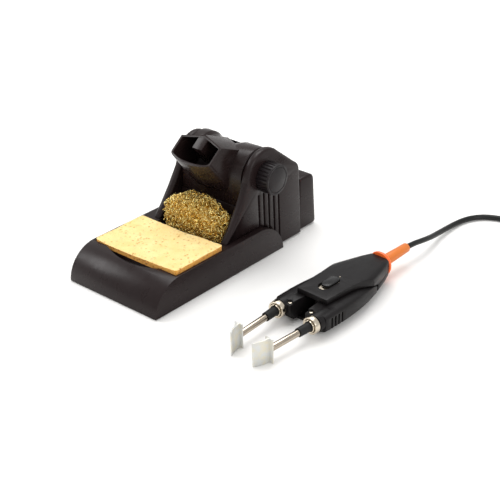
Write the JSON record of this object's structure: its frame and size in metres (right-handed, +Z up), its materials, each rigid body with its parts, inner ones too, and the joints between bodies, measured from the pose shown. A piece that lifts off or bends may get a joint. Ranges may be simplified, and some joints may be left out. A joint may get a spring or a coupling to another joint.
{
  "type": "soldering tweezers stand",
  "caption": "Desk stand with tilting tool holder, wiping sponge and brass wool, and corded hot tweezers lying beside it.",
  "frame": {"origin": "centre of the footprint of the stand and the tweezers together, on the surface they stand on", "axes": "+Z up, -Y the front, where the sponge and the tips are, +X to the right, where the tweezers lie"},
  "size_m": [0.3295, 0.4054, 0.1059],
  "materials": {
    "black_plastic": "moulded ABS, semi-gloss black",
    "soft_black": "fine matte black",
    "gloss_black": "gloss black",
    "steel": "plain steel",
    "tube_steel": "drawn stainless steel",
    "nickel": "nickel plated, bright",
    "cast_iron": "bare casting",
    "brass": "turned brass",
    "brass_wool": "curled brass shavings",
    "tip_silver": "plated blades, satin",
    "sponge": "pale yellow cellulose",
    "orange": "satin orange",
    "rubber": "black rubber"
  },
  "bodies": {
    "stand": {"base_tray": "black_plastic", "base_plate": "steel", "foot_front_left": "rubber", "foot_front_right": "rubber", "foot_rear_left": "rubber", "foot_rear_right": "rubber", "left_cheek": "black_plastic", "right_cheek": "black_plastic", "housing_back": "black_plastic", "front_panel": "black_plastic", "rear_box": "black_plastic", "ballast_weight": "cast_iron", "left_washer": "steel", "right_washer": "steel", "clamp_bolt": "steel"},
    "holder": {"tool_holder": "black_plastic"},
    "knob": {"clamp_knob": "soft_black", "knob_cap": "black_plastic", "knob_insert": "brass"},
    "sponge": {"sponge": "sponge"},
    "wool": {"brass_wool": "brass_wool"},
    "handset": {"top_cover": "soft_black", "bottom_cover": "soft_black", "left_pivot_pin": "steel", "right_pivot_pin": "steel", "slider_plate": "nickel", "indicator_dot": "nickel", "rear_ring": "orange", "strain_relief": "orange", "cord": "rubber", "cord_coil": "rubber", "plug_relief": "rubber", "plug_body": "soft_black", "plug_shell": "nickel"},
    "left_arm": {"left_arm": "soft_black", "left_arm_screw": "nickel", "left_collar": "nickel", "left_collar_ring": "nickel", "left_sleeve": "soft_black", "left_tube": "tube_steel", "left_tip": "tip_silver"},
    "right_arm": {"right_arm": "soft_black", "right_arm_screw": "nickel", "right_collar": "nickel", "right_collar_ring": "nickel", "right_sleeve": "soft_black", "right_tube": "tube_steel", "right_tip": "tip_silver"},
    "slider": {"slider_button": "gloss_black"}
  },
  "joints": [
    {"name": "holder_tilt", "type": "hinge", "parent": "stand", "child": "holder", "pos_m": [-0.05826, 0.03256, 0.073], "axis": [-1, 0, 0], "range_deg": [0, 25]},
    {"name": "knob_turn", "type": "hinge", "parent": "stand", "child": "knob", "pos_m": [-0.05826, 0.03256, 0.073], "axis": [1, 0, 0], "range_deg": [0, 270]},
    {"name": "sponge_lift", "type": "slide", "parent": "stand", "child": "sponge", "axis": [0, 0, 1], "range_m": [0, 0.03]},
    {"name": "wool_lift", "type": "slide", "parent": "stand", "child": "wool", "axis": [0, 0, 1], "range_m": [0, 0.005]},
    {"name": "handset_lift", "type": "slide", "parent": "stand", "child": "handset", "axis": [0, 0, 1], "range_m": [0, 0.12]},
    {"name": "left_arm_squeeze", "type": "hinge", "parent": "handset", "child": "left_arm", "pos_m": [0.07224, 0.02529, 0.01388], "axis": [-0.0011, -0.0261, 0.9997], "range_deg": [0, 4.4], "stiffness_Nm_per_rad": 1.2},
    {"name": "right_arm_squeeze", "type": "hinge", "parent": "handset", "child": "right_arm", "pos_m": [0.09422, 0.02434, 0.01388], "axis": [0.0011, 0.0261, -0.9997], "range_deg": [0, 4.4], "stiffness_Nm_per_rad": 1.2},
    {"name": "temperature_slide", "type": "slide", "parent": "handset", "child": "slider", "axis": [-0.0436, -0.9987, -0.0262], "range_m": [0, 0.003]}
  ]
}
